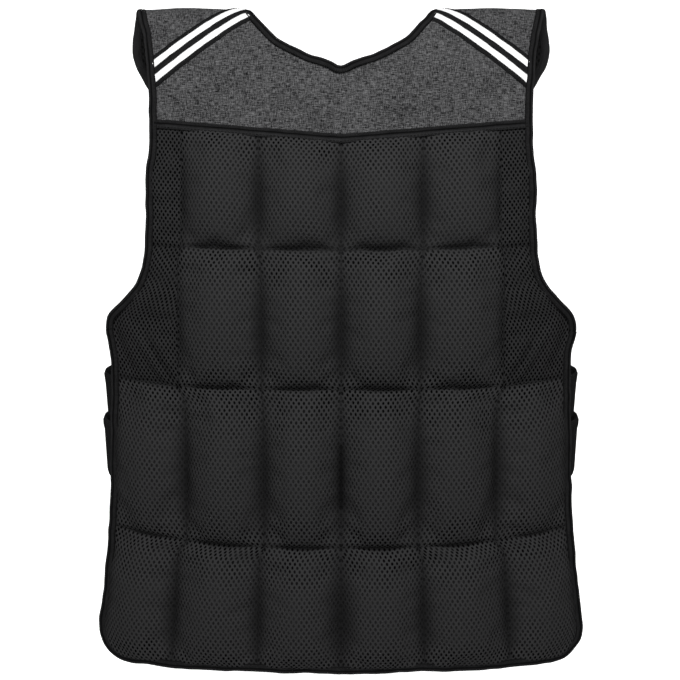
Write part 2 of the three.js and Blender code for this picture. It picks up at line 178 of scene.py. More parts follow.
# Swelling of the quilts: how far they start swollen, pressure, frames and the furthest move
START_SHARE = 0.8
SWELL_PRESSURE = 5.0
SWELL_FRAMES = 20
MOVE_LIMIT = 0.012
CLOTH = {
    "quality": 6,
    "mass": 0.3,
    "tension_stiffness": 25,
    "compression_stiffness": 25,
    "shear_stiffness": 12,
    "bending_stiffness": 1.5,
    "air_damping": 2,
    "shrink_min": -0.022,
}

# Painted shade in the valleys along the upright seams, on the sewn lines and in the slit, and how far the
# knit is pulled open, which also paints a highlight
VALLEY_NARROW = 0.0055
VALLEY_BELLY = 0.0075
VALLEY_SPLAY = 0.7
SEAM_SHADE = 0.35
SLIT_SHADE = 0.5
FLAT_FILL = 0.3
FLAT_KNIT = (0.38, 1.0)
LINING_KNIT = (0.6, 0.6)
YOKE_LINING_KNIT = (0.2, 0.6)
FLAT_SCALE = 1.15

# Slanting fold at the foot of each wing, and the painted shade in its dip
FOLD_TOP_HALF = 0.178
FOLD_LEAN = 0.024
FOLD_INNER_HALF = 0.1525
FOLD_RISE = 0.0045
FOLD_DIP = 0.0014
FOLD_SHADE = 700

# Where the edge tapes are cut: near this half width, its distance counted less than the run's
CUT_HALF = 0.22
CUT_WEIGHT = 0.2

# Tape over the yoke seams: share of the half width, height
SEAM_TAPE_OUTER = [
    (-1, 0.0030), (-1, 0.0040), (-0.7, 0.0046), (0, 0.0048), (0.6, 0.0044), (1, 0.0040), (1, 0.0030),
]
SEAM_TAPE_INNER = [(-1, 0.0002), (-1, -0.0006), (0, -0.0008), (1, -0.0006), (1, 0.0002)]
SEAM_TAPE_STITCHES = [(0.62, 0.0047), (-0.62, 0.0047), (0.62, -0.0007)]

# Stitches of the folded tapes: distance in from the edge, heights on both faces
TAPE_STITCH_IN = 0.8 * TAPE_WIDTH
TAPE_STITCH_HEIGHTS = (0.0044, -0.0005)
STITCH_PITCH = 0.0032
STITCH_LENGTH = 0.0025
STITCH_THICKNESS = 0.0006

# Soft lights: name, place, aim, size, power
LIGHTS = [
    ("key", (0, -1.5, 1.1), (0, -0.1, -0.35), 0.7, 42),
    ("fill", (0, -2.2, -0.1), (0, 0, -0.3), 0.8, 16),
]
WORLD_STRENGTH = 0.06

# Camera
CAMERA_SPOT = (-0.00094, -1.6, -0.1195)
CAMERA_TILT = math.radians(90 - 6.962)
CAMERA_LENS = 86.93

TURNS = np.linspace(0, math.pi / 2, ROLL_STEPS + 1)
ROLL_RUNS = np.concatenate([[0], np.cumsum(np.hypot(
    ROLL_DROP * -np.diff(np.cos(TURNS)), ROLL_DEPTH * np.diff(np.sin(TURNS))))])
ROLL_RUN = ROLL_RUNS[-1]


def run_at(drop):
    """Distance along the profile at a drop below the shoulder line."""
    drop = np.asarray(drop, float)
    turn = np.arccos(np.clip(1 - drop / ROLL_DROP, 0, 1))
    return np.interp(turn, TURNS, ROLL_RUNS) + np.maximum(drop - ROLL_DROP, 0)


def place(across, run, out):
    """Points that stand out from the inner face. Run is over zero on the back."""
    across, run, out = np.broadcast_arrays(
        np.asarray(across, float), np.asarray(run, float), np.asarray(out, float))
    side = np.where(run > 0, -1.0, 1.0)
    size = np.abs(run)
    turn = np.interp(size, ROLL_RUNS, TURNS)
    drop = ROLL_DROP * (1 - np.cos(turn)) + np.maximum(size - ROLL_RUN, 0)
    swell = np.sin(turn)
    share = np.abs(across) / HALF_WIDTH
    depth = HALF_DEPTH - EDGE_FALL * share ** EDGE_POWER
    slope = EDGE_FALL * EDGE_POWER * share ** (EDGE_POWER - 1) / HALF_WIDTH
    normal = np.stack([
        swell * swell * slope * np.sign(across),
        side * swell,
        np.cos(turn) * depth / ROLL_DROP,
    ], axis=-1)
    normal /= np.linalg.norm(normal, axis=-1, keepdims=True)
    base = np.stack([across, side * swell * depth, -drop], axis=-1)
    return base + normal * out[..., None]


def smooth_line(points, closed, per_span):
    """A centripetal curve through (across, run) points."""
    points = np.asarray(points, float)
    if closed:
        ring = np.vstack([points[-1:], points, points[:2]])
    else:
        ring = np.vstack([2 * points[:1] - points[1:2], points, 2 * points[-1:] - points[-2:-1]])
    spans = len(points) if closed else len(points) - 1
    part = (np.arange(per_span) / per_span)[:, None]
    line = []
    for k in range(spans):
        a, b, c, d = ring[k:k + 4]
        before, here, after = (math.sqrt(np.linalg.norm(q - p)) for p, q in ((a, b), (b, c), (c, d)))
        leave = ((b - a) / before - (c - a) / (before + here) + (c - b) / here) * here
        enter = ((c - b) / here - (d - b) / (here + after) + (d - c) / after) * here
        line.append(
            b + leave * part + (3 * (c - b) - 2 * leave - enter) * part ** 2
            + (2 * (b - c) + leave + enter) * part ** 3)
    if not closed:
        line.append(points[-1:])
    return np.vstack(line)


def offset(points, distance, closed):
    """A line moved to the left of its direction."""
    if closed:
        way = np.roll(points, -1, axis=0) - np.roll(points, 1, axis=0)
    else:
        way = np.gradient(points, axis=0)
    way = way / np.linalg.norm(way, axis=1, keepdims=True)
    return points + np.stack([-way[:, 1], way[:, 0]], axis=1) * np.reshape(distance, (-1, 1))


def lengths_along(points, closed=False):
    """Distance from the start of a line to each of its points."""
    ends = np.vstack([points, points[:1]]) if closed else points
    return np.concatenate([[0], np.cumsum(np.linalg.norm(np.diff(ends, axis=0), axis=1))])


def even_line(points, step, closed=False):
    """A line's points again, at even distances."""
    along = lengths_along(points, closed)
    ends = np.vstack([points, points[:1]]) if closed else points
    count = max(2, round(along[-1] / step))
    spots = np.linspace(0, along[-1], count + 1)
    if closed:
        spots = spots[:-1]
    return np.stack([np.interp(spots, along, ends[:, k]) for k in range(ends.shape[1])], axis=1)


def smoothstep(x):
    """0 up to 0 and 1 from 1 on, smooth between them."""
    x = np.clip(x, 0, 1)
    return x * x * (3 - 2 * x)


def ripple(spots, period, seed):
    """A smooth uneven wave between about -1 and 1."""
    phases = np.random.default_rng(seed).uniform(0, 2 * math.pi, 3)
    turn = 2 * math.pi * np.asarray(spots) / period
    return (np.sin(turn + phases[0]) + 0.6 * np.sin(1.7 * turn + phases[1])
            + 0.4 * np.sin(2.9 * turn + phases[2])) / 2


def crest(across, run):
    """How far the yoke's cloth stands up over the shoulder line, between its tapes."""
    part = np.clip((np.abs(across) - NECK_HALF) / (RIDGE_HALF * HALF_WIDTH - NECK_HALF), 0, 1)
    wave = 1 + 0.2 * ripple(across, 0.07, 8)
    return CREST_RISE * wave * np.sin(math.pi * part) ** 0.4 * np.exp(-(run / CREST_REACH) ** 2)


def edge_controls():
    """The right-hand edge from the front hem over the shoulder to the back hem."""
    turn = np.linspace(0, math.pi / 2, 5)
    corner = [
        (HALF_WIDTH - HEM_CORNER * (1 - math.cos(t)),
         float(run_at(VEST_LENGTH - HEM_CORNER * (1 - math.sin(t)))))
        for t in turn
    ]
    corner.append((HALF_WIDTH - HEM_CORNER - HEM_LAP, float(run_at(VEST_LENGTH))))

    def spots(table):
        return [(half * HALF_WIDTH, float(run_at(down * VEST_LENGTH))) for down, half in table]

    front = [(across, -run) for across, run in spots(FRONT_EDGE) + corner][::-1]
    return front + [(RIDGE_HALF * HALF_WIDTH, 0)] + spots(BACK_EDGE) + corner


def neck_controls():
    """The neck edge, from the back centre round by the right shoulder."""
    back = [(a * NECK_HALF, float(run_at(d * BACK_NECK_DROP))) for a, d in BACK_NECK]
    front = [(a * NECK_HALF, -float(run_at(d * FRONT_NECK_DROP))) for a, d in FRONT_NECK]
    right = back + [(NECK_HALF, 0)] + front[::-1]
    left = [(-across, run) for across, run in right[1:-1]][::-1]
    return right + left


EDGE_LINE = smooth_line(edge_controls(), False, 16)
NECK_LINE = smooth_line(neck_controls(), True, 8)
CORNER_RUN = float(run_at(VEST_LENGTH - HEM_CORNER))


def edge_half(run, inset):
    """Half width of the panels at a run, that far inside the edge."""
    line = offset(EDGE_LINE, inset, False)
    line = line[np.abs(line[:, 1]) < CORNER_RUN + HEM_CORNER / 4]
    return np.interp(np.clip(run, -CORNER_RUN, CORNER_RUN), line[:, 1], line[:, 0])


def seam_drop(name, across, inset=0.0):
    """Depth of a sewn line, or of the hem that far inside its edge."""
    share = np.abs(across) / HALF_WIDTH
    if name == "hem":
        radius = HEM_CORNER - inset
        past = np.clip(np.abs(across) - (HALF_WIDTH - HEM_CORNER), 0, radius)
        return VEST_LENGTH - HEM_CORNER + np.sqrt(radius ** 2 - past ** 2)
    down, rise, bend = SEAMS[name]
    return VEST_LENGTH * (down - rise * share ** bend)


def mesh_object(name, points, faces):
    """A smooth-shaded object in the scene."""
    mesh = bpy.data.meshes.new(name)
    mesh.from_pydata(np.asarray(points, float).reshape(-1, 3).tolist(), [], faces)
    mesh.validate()
    mesh.shade_smooth()
    obj = bpy.data.objects.new(name, mesh)
    bpy.context.scene.collection.objects.link(obj)
    return obj


def set_uv(obj, uv_of_loop, name="cloth"):
    """Gives a piece a map with a spot for each face corner."""
    layer = obj.data.uv_layers.new(name=name)
    layer.data.foreach_set("uv", np.asarray(uv_of_loop, np.float32).ravel())


def applied(obj):
    """Makes an object's modifiers real."""
    graph = bpy.context.evaluated_depsgraph_get()
    made = bpy.data.meshes.new_from_object(obj.evaluated_get(graph), depsgraph=graph)
    old = obj.data
    obj.modifiers.clear()
    obj.data = made
    made.name = obj.name
    bpy.data.meshes.remove(old)


class Value:
    """A socket of a material's nodes. Arithmetic on it adds Math nodes."""

    def __init__(self, finish, socket):
        self.finish = finish
        self.socket = socket

    def math(self, operation, *others):
        return self.finish.number(operation, self, *others)

    def __add__(self, other):
        return self.math("ADD", other)

    __radd__ = __add__

    def __sub__(self, other):
        return self.math("SUBTRACT", other)

    def __rsub__(self, other):
        return self.finish.number("SUBTRACT", other, self)

    def __mul__(self, other):
        return self.math("MULTIPLY", other)

    __rmul__ = __mul__

    def __truediv__(self, other):
        return self.math("DIVIDE", other)

    def __pow__(self, other):
        return self.math("POWER", other)

    def __abs__(self):
        return self.math("ABSOLUTE")

    def from_nearest(self):
        """Signed distance to the nearest whole number."""
        return self - self.math("ROUND")

    def step(self, low, high):
        """0 below low and 1 above high, smooth between them."""
        return self.finish.node(
            "ShaderNodeMapRange", {"interpolation_type": "SMOOTHSTEP"},
            {"Value": self, "From Min": low, "From Max": high})


class Finish:
    """A material under construction."""

    def __init__(self, name, **constants):
        self.material = bpy.data.materials.new(name)
        self.material.use_nodes = True
        self.tree = self.material.node_tree
        self.tree.nodes.clear()
        self.shader = self.tree.nodes.new("ShaderNodeBsdfPrincipled")
        output = self.tree.nodes.new("ShaderNodeOutputMaterial")
        self.tree.links.new(self.shader.outputs[0], output.inputs["Surface"])
        for socket, value in constants.items():
            self.shader.inputs[socket.replace("_", " ")].default_value = value

    def node(self, kind, settings, inputs, output=0):
        """Adds a node, sets it up, then gives its sockets values or links."""
        node = self.tree.nodes.new(kind)
        for key, value in settings.items():
            setattr(node, key, value)
        for key, value in inputs.items():
            self.feed(node.inputs[key], value)
        return Value(self, node.outputs[output])

    def feed(self, socket, value):
        if isinstance(value, Value):
            self.tree.links.new(value.socket, socket)
        else:
            socket.default_value = value

    def number(self, operation, *values):
        return self.node("ShaderNodeMath", {"operation": operation}, dict(enumerate(values)))

    def spot_on(self, layer):
        """The two values of a UV map, in metres for the map of the cloth."""
        spot = self.node("ShaderNodeUVMap", {"uv_map": layer}, {})
        split = self.node("ShaderNodeSeparateXYZ", {}, {0: spot}).socket.node
        return Value(self, split.outputs[0]), Value(self, split.outputs[1])

    def noise(self, across, along, detail=2.0, roughness=0.5):
        """Uneven values about 0.5, over a spot measured in the size of their patches."""
        spot = self.node("ShaderNodeCombineXYZ", {}, {0: across, 1: along})
        return self.node(
            "ShaderNodeTexNoise", {"noise_dimensions": "2D"},
            {"Vector": spot, "Scale": 1.0, "Detail": detail, "Roughness": roughness})

    def grain(self, scale):
        """Uneven values over the piece's own space."""
        spot = self.node("ShaderNodeTexCoord", {}, {}, "Object")
        return self.node("ShaderNodeTexNoise", {}, {"Vector": spot, "Scale": scale, "Detail": 2.0})

    def blend(self, share, low, high):
        """A colour between two greys."""
        inputs = {0: share, 6: (*low, 1), 7: (*high, 1)}
        return self.node("ShaderNodeMix", {"data_type": "RGBA"}, inputs, output=2)

    def finish(self, colour, height, depth, roughness):
        self.feed(self.shader.inputs["Base Color"], colour)
        self.feed(self.shader.inputs["Roughness"], roughness)
        bump = self.node("ShaderNodeBump", {}, {"Height": height, "Distance": depth, "Strength": 1.0})
        self.feed(self.shader.inputs["Normal"], bump)
        return self.material


def spacer_mesh():
    """Black warp-knitted mesh: small diamond holes between threads that slant both ways.

    The second map carries painted shade, by how far each spot lies out of the sewn valleys, and how far
    the knit is pulled open there, which also paints a highlight near the top and foot of the pads."""
    pitch_across, pitch_along = 0.0048, 0.0072
    made = Finish("spacer_mesh", Specular_IOR_Level=0.0)
    across, along = made.spot_on("cloth")
    swell, open_and_highlight = made.spot_on("pocket")
    across = across + (made.noise(across / 0.009, along / 0.009, 1.0) - 0.5) * 0.0007
    along = along + (made.noise(across / 0.008 + 7.3, along / 0.008, 1.0) - 0.5) * 0.0006
    rising = abs((across / pitch_across + along / pitch_along).from_nearest())
    falling = abs((across / pitch_across - along / pitch_along).from_nearest())
    to_hole = (rising ** 2.2 + falling ** 2.2) ** (1 / 2.2)
    size = made.noise(across / 0.004, along / 0.004 + 3.1, 1.0)
    thread = (to_hole + (size - 0.5) * 0.12).step(0.17, 0.43)
    uneven = made.noise(across / 0.018 + 4.0, along / 0.018, 1.0)
    open_and_highlight = (open_and_highlight * (0.6 + uneven * 0.8)).math("MINIMUM", 1.0)
    knit = 1.0 - (1.0 - thread) * open_and_highlight
    fuzz = made.noise(across / 0.0007, along / 0.0011, 2.0)
    # Painted shade from the map's first value, darkest in the sewn valleys; the open knit also brightens
    # the mesh as a painted highlight near the top and foot of the pads
    shade = knit * (0.66 + fuzz * 0.5) * (0.46 + swell * 0.54) * (0.74 + open_and_highlight * 0.48)
    colour = made.blend(shade, (0.0006, 0.0006, 0.0007), (0.031, 0.031, 0.0316))
    return made.finish(colour, knit + fuzz * 0.25, 0.0006, 0.7)


def heather_cloth():
    """Grey melange weave: light and dark yarns in short streaks both ways, with pale flecks."""
    made = Finish("yoke_cloth", Specular_IOR_Level=0.0)
    across, along = made.spot_on("cloth")
    weft = made.noise(across / 0.0065, along / 0.00075, 2.0, 0.6)
    warp = made.noise(across / 0.00075 + 11.0, along / 0.0055, 2.0, 0.6)
    patch = made.noise(across / 0.035, along / 0.025 + 2.0, 2.0)
    fleck = made.noise(across / 0.0016, along / 0.0010 + 5.0, 1.0).step(0.59, 0.74)
    weave_across = (across / 0.0009 * math.pi).math("SINE")
    weave_along = (along / 0.0009 * math.pi).math("SINE")
    weave = weave_across * weave_along
    shade = (weft * 1.15 + warp * 1.0 + patch * 0.2 - 1.175) * 1.4 + 0.30 + fleck * 0.35 + weave * 0.03
    colour = made.blend(shade, (0.009, 0.009, 0.0094), (0.155, 0.155, 0.158))
    return made.finish(colour, weave * 0.5 + weft + warp, 0.0003, 0.85)


def ribbed_tape(name, rib, low, high, depth, folded):
    """Woven tape with fine ribs. A folded one has painted shade at its inner edge and its stitch line, and
    a painted highlight at its rim.
    """
    made = Finish(name, Specular_IOR_Level=0.0)
    along, across = made.spot_on("cloth")
    ribs = (along * (2 * math.pi / rib)).math("SINE") * 0.5 + 0.5
    yarn = made.noise(along / 0.0008, across / 0.0016, 2.0)
    patch = made.noise(along / 0.012, across / 0.003, 2.0)
    shade = ribs * 0.35 + yarn * 0.35 + patch * 0.55
    height = ribs + yarn * 0.6
    if folded:
        # Painted shade at the inner edge and along the stitch line, which is also lowered as bump, and a
        # painted highlight towards the rim
        line = across.step(0.0, 0.0014) * abs(across - 0.0047).step(0.0002, 0.0013)
        rim = across.step(0.0055, 0.0080) * 0.85 + 0.8
        shade = shade * (0.22 + line * 0.78) * rim
        height = height + line
    colour = made.blend(shade, (low, low, low * 1.03), (high, high, high * 1.03))
    return made.finish(colour, height, depth, 0.6)


def reflective_film():
    """White retroreflective film with a faint lattice under its face."""
    made = Finish("reflective_tape", Specular_IOR_Level=0.5)
    along, across = made.spot_on("cloth")
    lattice = ((along + across) * (math.pi / 0.0012)).math("SINE")
    lattice = lattice * ((along - across) * (math.pi / 0.0012)).math("SINE")
    soil = made.noise(along / 0.01, across / 0.006, 2.0)
    shade = abs(lattice) * 0.35 + soil * 0.6
    colour = made.blend(shade, (0.90, 0.90, 0.90), (0.80, 0.80, 0.80))
    return made.finish(colour, lattice, 0.00005, 0.35)


def thread_finish():
    """Black sewing thread."""
    made = Finish("thread", Specular_IOR_Level=0.15)
    twist = made.grain(900.0)
    colour = made.blend(twist, (0.003, 0.003, 0.003), (0.009, 0.009, 0.0092))
    return made.finish(colour, twist, 0.0001, 0.55)


def pale_floor():
    """Smooth pale paper."""
    made = Finish("pale_floor", Specular_IOR_Level=0.0, Emission_Color=(1, 1, 1, 1), Emission_Strength=0.8)
    grain = made.grain(40.0)
    colour = made.blend(grain, (0.93, 0.93, 0.93), (0.95, 0.95, 0.95))
    return made.finish(colour, grain, 0.0001, 0.9)


MESH = spacer_mesh()
HEATHER = heather_cloth()
TAPE = ribbed_tape("binding_tape", 0.0012, 0.0012, 0.0270, 0.0003, True)
BAND = ribbed_tape("band_tape", 0.0014, 0.0014, 0.0190, 0.0003, False)
WEBBING = ribbed_tape("elastic_webbing", 0.0016, 0.0014, 0.0230, 0.0004, False)
FILM = reflective_film()
THREAD = thread_finish()


def finished(obj, slot, *nodes):
    """Gives a piece its body and hides the solids that it stands for. Its slot is not used."""
    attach(obj, "root")
    if nodes:
        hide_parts(*nodes)


def quilt_grid(side, rows, cells, inset):
    """Places of a panel's grid, and for each line of the grid where it lies in its pocket.

    Returns across, run, the share of each pocket that a grid spot lies across and down, its
    pocket's fullness, and the numbers of the grid's sewn lines."""
    blocks = len(rows[0][2]) + 1
    part = np.concatenate([
        np.arange(cells) / cells + b for b in range(blocks)] + [[blocks]])
    across_rows, run_rows, down_rows, fill_rows, seam_lines = [], [], [], [], [0]
    before = None
    for r, (top, bottom, columns, fills, count) in enumerate(rows):
        first = 0 if r == 0 else 1
        for i in range(first, count + 1):
            v = i / count
            settle = 1.0 if before is None else float(smoothstep(ROW_HEIGHT * v / COLUMN_SETTLE))
            halves = [0.0]
            for b, (upper, lower) in enumerate(columns):
                own = upper + (lower - upper) * v
                old = own if before is None else before[b]
                halves.append(HALF_WIDTH * (old + (own - old) * settle))
            nominal = seam_drop(top, 0) + (seam_drop(bottom, 0, inset) - seam_drop(top, 0)) * v
            run = np.full(len(part), side * float(run_at(nominal)))
            for _ in range(4):
                edge = edge_half(run, inset)
                knots = np.array(halves)
                block = np.minimum(part.astype(int), blocks - 1)
                low = knots[block]
                high = np.where(block == blocks - 1, edge, np.append(knots, 0)[block + 1])
                across = low + (high - low) * (part - block)
                upper = seam_drop(top, across)
                if top == "yoke":
                    upper = upper + SEAM_TAPE_WIDTH / 2 - SEAM_LAP
                lower = seam_drop(bottom, across, inset)
                run = side * run_at(upper + (lower - upper) * v)
            across_rows.append(across)
            run_rows.append(run)
            down_rows.append(v)
            fill_rows.append([fills[b] for b in np.minimum(part.astype(int), blocks - 1)])
        seam_lines.append(len(across_rows) - 1)
        before = [lower for _, lower in columns]
    across = np.array(across_rows)

    def mirror(values, sign):
        return np.concatenate([sign * values[:, :0:-1], values], axis=1)

    share = np.broadcast_to(part - np.floor(part), across.shape)
    fill = np.array(fill_rows, float)
    columns = [int(k * cells) for k in range(-blocks, blocks + 1)]
    return (mirror(across, -1), mirror(np.array(run_rows), 1), mirror(share, 1),
            np.array(down_rows), mirror(fill, 1), seam_lines, [c + blocks * cells for c in columns])


def pad_sag(down):
    """How high a pad stands at a share down its pocket: fullest a little below the middle."""
    return np.maximum(0, np.sin(math.pi * down ** SAG_LEAN)) ** SAG_POWER


def pad_pressure(fill, down):
    """How hard each spot of a panel is pressed out: harder low down, where the weights settle."""
    return fill * (0.55 + 0.45 * smoothstep(down * 1.3)[:, None])


def inflate(obj, sewn, fill):
    """Swells a sheet that is held along its sewn lines, and returns its points."""
    for name, weights in (("sewn", sewn), ("fill", fill)):
        group = obj.vertex_groups.new(name=name)
        for index in np.flatnonzero(weights > 0):
            group.add([int(index)], float(weights[index]), "REPLACE")
    swelling = obj.modifiers.new("Cloth", "CLOTH")
    cloth = swelling.settings
    for key, value in CLOTH.items():
        setattr(cloth, key, value)
    cloth.vertex_group_mass = "sewn"
    cloth.use_pressure = True
    cloth.uniform_pressure_force = SWELL_PRESSURE
    cloth.vertex_group_pressure = "fill"
    cloth.effector_weights.gravity = 0
    swelling.collision_settings.use_collision = False
    swelling.collision_settings.use_self_collision = False
    swelling.point_cache.frame_start = 1
    swelling.point_cache.frame_end = SWELL_FRAMES
    scene = bpy.context.scene
    for number in range(1, SWELL_FRAMES + 1):
        scene.frame_set(number)
    graph = bpy.context.evaluated_depsgraph_get()
    shown = obj.evaluated_get(graph).to_mesh()
    points = np.empty(len(shown.vertices) * 3, np.float32)
    shown.vertices.foreach_get("co", points)
    obj.evaluated_get(graph).to_mesh_clear()
    obj.modifiers.remove(swelling)
    obj.vertex_groups.clear()
    scene.frame_set(1)
    return points.reshape(-1, 3).astype(float)


def wing_fold(across, down, seams):
    """A slanting fold at the foot of each wing, where the loose cloth meets the pocket's corner."""
    shape = np.zeros(across.shape)
    rows = slice(seams[1] + 1, seams[2])
    half, part = np.abs(across[rows]), down[rows, None]
    far = half - (FOLD_TOP_HALF - FOLD_LEAN * (part - 0.70) / 0.30)
    share = smoothstep((part - 0.55) / 0.2) * smoothstep((1 - part) / 0.06) * (half > FOLD_INNER_HALF)
    rise = FOLD_RISE * np.exp(-((far - 0.0065) / 0.0045) ** 2)
    shape[rows] = share * (rise - FOLD_DIP * np.exp(-(far / 0.0028) ** 2))
    return shape


def outer_faces(index, side):
    """Faces of a panel's outer grid, turned outwards."""
    here, below, opposite, right = index[:-1, :-1], index[1:, :-1], index[1:, 1:], index[:-1, 1:]
    corners = (here, below, opposite, right) if side > 0 else (here, right, opposite, below)
    return np.stack(corners, axis=-1).reshape(-1, 4).tolist()


def rim_faces(index, side):
    """Faces that join the rim of a panel's outer grid to the lining behind it."""
    rim = np.concatenate([index[0, :-1], index[:-1, -1], index[-1, :0:-1], index[:0:-1, 0]])
    after, count = np.roll(rim, -1), index.size
    closing = np.stack([rim, after, after + count, rim + count], axis=1)
    return (closing if side > 0 else closing[:, ::-1]).tolist()


def lengths_over(grid, axis):
    """Distance over a surface from its grid's first line to each of its spots."""
    steps = np.linalg.norm(np.diff(grid, axis=axis), axis=2)
    return np.insert(np.cumsum(steps, axis=axis), 0, 0, axis=axis)


def cloth_spots(grid, across, run, fill, seams, columns, side):
    """Cloth coordinates of a panel's outer faces, over the surface from the middle of each pocket."""
    height, width = across.shape
    corners = [(0, 0), (1, 0), (1, 1), (0, 1)] if side > 0 else [(0, 0), (0, 1), (1, 1), (1, 0)]
    spots = np.zeros((height - 1, width - 1, len(corners), 2))
    along_rows, along_columns = lengths_over(grid, 1), lengths_over(grid, 0)
    for top, bottom in zip(seams[:-1], seams[1:]):
        middle = (top + bottom) // 2
        for left, right in zip(columns[:-1], columns[1:]):
            centre = (left + right) // 2
            scale = FLAT_SCALE if fill[middle, centre] < FLAT_FILL else 1.0
            u = (along_rows - along_rows[:, centre:centre + 1]) * scale + across[middle, centre]
            v = (along_columns - along_columns[middle:middle + 1]) * scale + abs(run[middle, centre])
            pocket = np.stack([u, v], axis=-1)
            for k, (i, j) in enumerate(corners):
                spots[top:bottom, left:right, k] = pocket[top + i:bottom + i, left + j:right + j]
    return spots


def shade_and_knit_spots(across, down, fill, fold, side, row_of, seams, columns):
    """For each spot of a panel's outer grid, painted shade that grows towards the sewn valleys and lies on
    the sewn lines, in the wing fold's dip and in the slit, and how far its knit is pulled open, which the
    mesh also paints as a highlight near the top and foot of the pads."""
    middle = len(columns) // 2
    to_seams = np.abs(across[:, :, None] - across[:, columns][:, None, :])
    belly = np.repeat(np.sin(math.pi * down ** SAG_LEAN)[:, None], across.shape[1], axis=1)
    splay = np.ones(across.shape)
    splay[seams[-2]:] += VALLEY_SPLAY * (to_seams[seams[-2]:].argmin(axis=2) == middle)
    reach = (VALLEY_NARROW + VALLEY_BELLY * belly) * splay
    # Painted shade: darker towards the upright seams, widest and deepest at each pad's belly
    swell = 1 - (1 - smoothstep(to_seams.min(axis=2) / reach)) * (0.5 + 0.4 * belly)
    # The knit is pulled open most near the top and foot of the pads and least in the valleys; the mesh is
    # brightened with it, as painted highlight and painted shade
    foot = np.where(row_of == 0, 0.0, 0.36)
    stretch_and_highlight = 0.60 + 0.36 * smoothstep(1 - down / 0.42) + foot * smoothstep((down - 0.68) / 0.3)
    open_and_highlight = (0.60 + 0.40 * swell) * stretch_and_highlight[:, None]
    swell[fill < FLAT_FILL], open_and_highlight[fill < FLAT_FILL] = FLAT_KNIT
    # Painted shade on the sewn lines across and down the panel, and in the dip of the wing fold
    swell[seams[1:-1]] -= SEAM_SHADE
    swell[:, columns[1:-1]] -= 0.1 + 0.15 * belly[:, columns[1:-1]]
    swell += np.minimum(fold, 0) * FOLD_SHADE
    # Painted shade in a slit of the middle seam of one back row
    slit = (side > 0) & (row_of == SLIT_ROW) & (down > SLIT_DOWN[0]) & (down < SLIT_DOWN[1])
    swell[slit, columns[middle]] -= SLIT_SHADE
    return np.stack([swell, open_and_highlight], axis=-1).reshape(-1, 2)


def keep_sharp(obj, sharp):
    """Keeps the edges between sharp spots as they are when the surface is refined."""
    ends = np.empty(len(obj.data.edges) * 2, np.int32)
    obj.data.edges.foreach_get("vertices", ends)
    crease = obj.data.attributes.new("crease_edge", "FLOAT", "EDGE")
    both = sharp[ends.reshape(-1, 2)].all(axis=1)
    crease.data.foreach_set("value", both.astype(np.float32))


def quilt(name, side, rows, cells, nodes):
    """A padded panel: outer mesh swollen between its sewn lines, over a flat lining."""
    across, run, share, down, fill, seams, columns = quilt_grid(side, rows, cells, EDGE_INSET)
    height, width = across.shape
    count = height * width

    # No two pockets are filled quite alike
    uneven = np.random.default_rng(5).uniform(0.90, 1.05, (len(rows), len(columns) - 1))
    row_of = np.searchsorted(seams[1:-1], np.arange(height))
    column_of = np.searchsorted(columns[1:-1], np.arange(width))
    fill = fill * uneven[row_of][:, column_of]
    crown = 1 - np.abs(2 * share - 1) ** CROWN_POWER
    rise = PAD_RISE * crown * fill * pad_sag(down)[:, None]
    fold = wing_fold(across, down, seams) * (side > 0)
    out = SEAM_OUT + rise + fold
    border = np.zeros((height, width), bool)
    border[[0, -1]] = True
    border[:, [0, -1]] = True
    out[border] = EDGE_OUT
    sewn = border.copy()
    sewn[seams] = True
    sewn[:, columns] = True

    start_share = START_SHARE
    points = place(across, run, SEAM_OUT + (out - SEAM_OUT) * start_share).reshape(-1, 3)
    index = np.arange(count).reshape(height, width)
    faces = outer_faces(index, side)
    sheet = mesh_object(name, points, faces)
    swollen = inflate(sheet, sewn.ravel().astype(float), pad_pressure(fill, down).ravel())
    bpy.data.objects.remove(sheet)
    move = swollen - points
    size = np.linalg.norm(move, axis=1, keepdims=True)
    points = points + move * np.minimum(1, MOVE_LIMIT / np.maximum(size, 1e-9))
    grid = points.reshape(height, width, 3)
    faces += [[count + k for k in reversed(face)] for face in faces]
    faces += rim_faces(index, side)
    lining = place(across, run, LINING_OUT).reshape(-1, 3)
    obj = mesh_object(name, np.vstack([points, lining]), faces)
    obj.data.materials.append(MESH)

    loops = np.empty(len(obj.data.loops), np.int32)
    obj.data.loops.foreach_get("vertex_index", loops)
    uv = np.stack([across, np.abs(run)], axis=-1).reshape(-1, 2)[loops % count]
    outer_uv = cloth_spots(grid, across, run, fill, seams, columns, side)
    uv[:outer_uv.size // 2] = outer_uv.reshape(-1, 2)
    set_uv(obj, uv)
    # The mesh's painted shade and highlight, with how far its knit is pulled open, go into a second map
    knit = shade_and_knit_spots(across, down, fill, fold, side, row_of, seams, columns)
    set_uv(obj, np.vstack([knit, np.tile(LINING_KNIT, (count, 1))])[loops], "pocket")
    keep_sharp(obj, np.concatenate([sewn.ravel(), np.zeros(count, bool)]))
    refine = obj.modifiers.new("Refine", "SUBSURF")
    refine.levels = refine.render_levels = 1
    applied(obj)
    finished(obj, "spacer_mesh", *nodes)
    return obj, grid, seams, columns


# Section of a folded tape: how far in from the edge and how high above the middle, as shares of
# the width and of half the thickness
FOLD = [
    (1.00, 0.84), (0.93, 0.93), (0.80, 0.80), (0.68, 0.90), (0.50, 1.00), (0.30, 0.98),
    (0.13, 0.82), (0.03, 0.48), (0.00, 0.00),
]


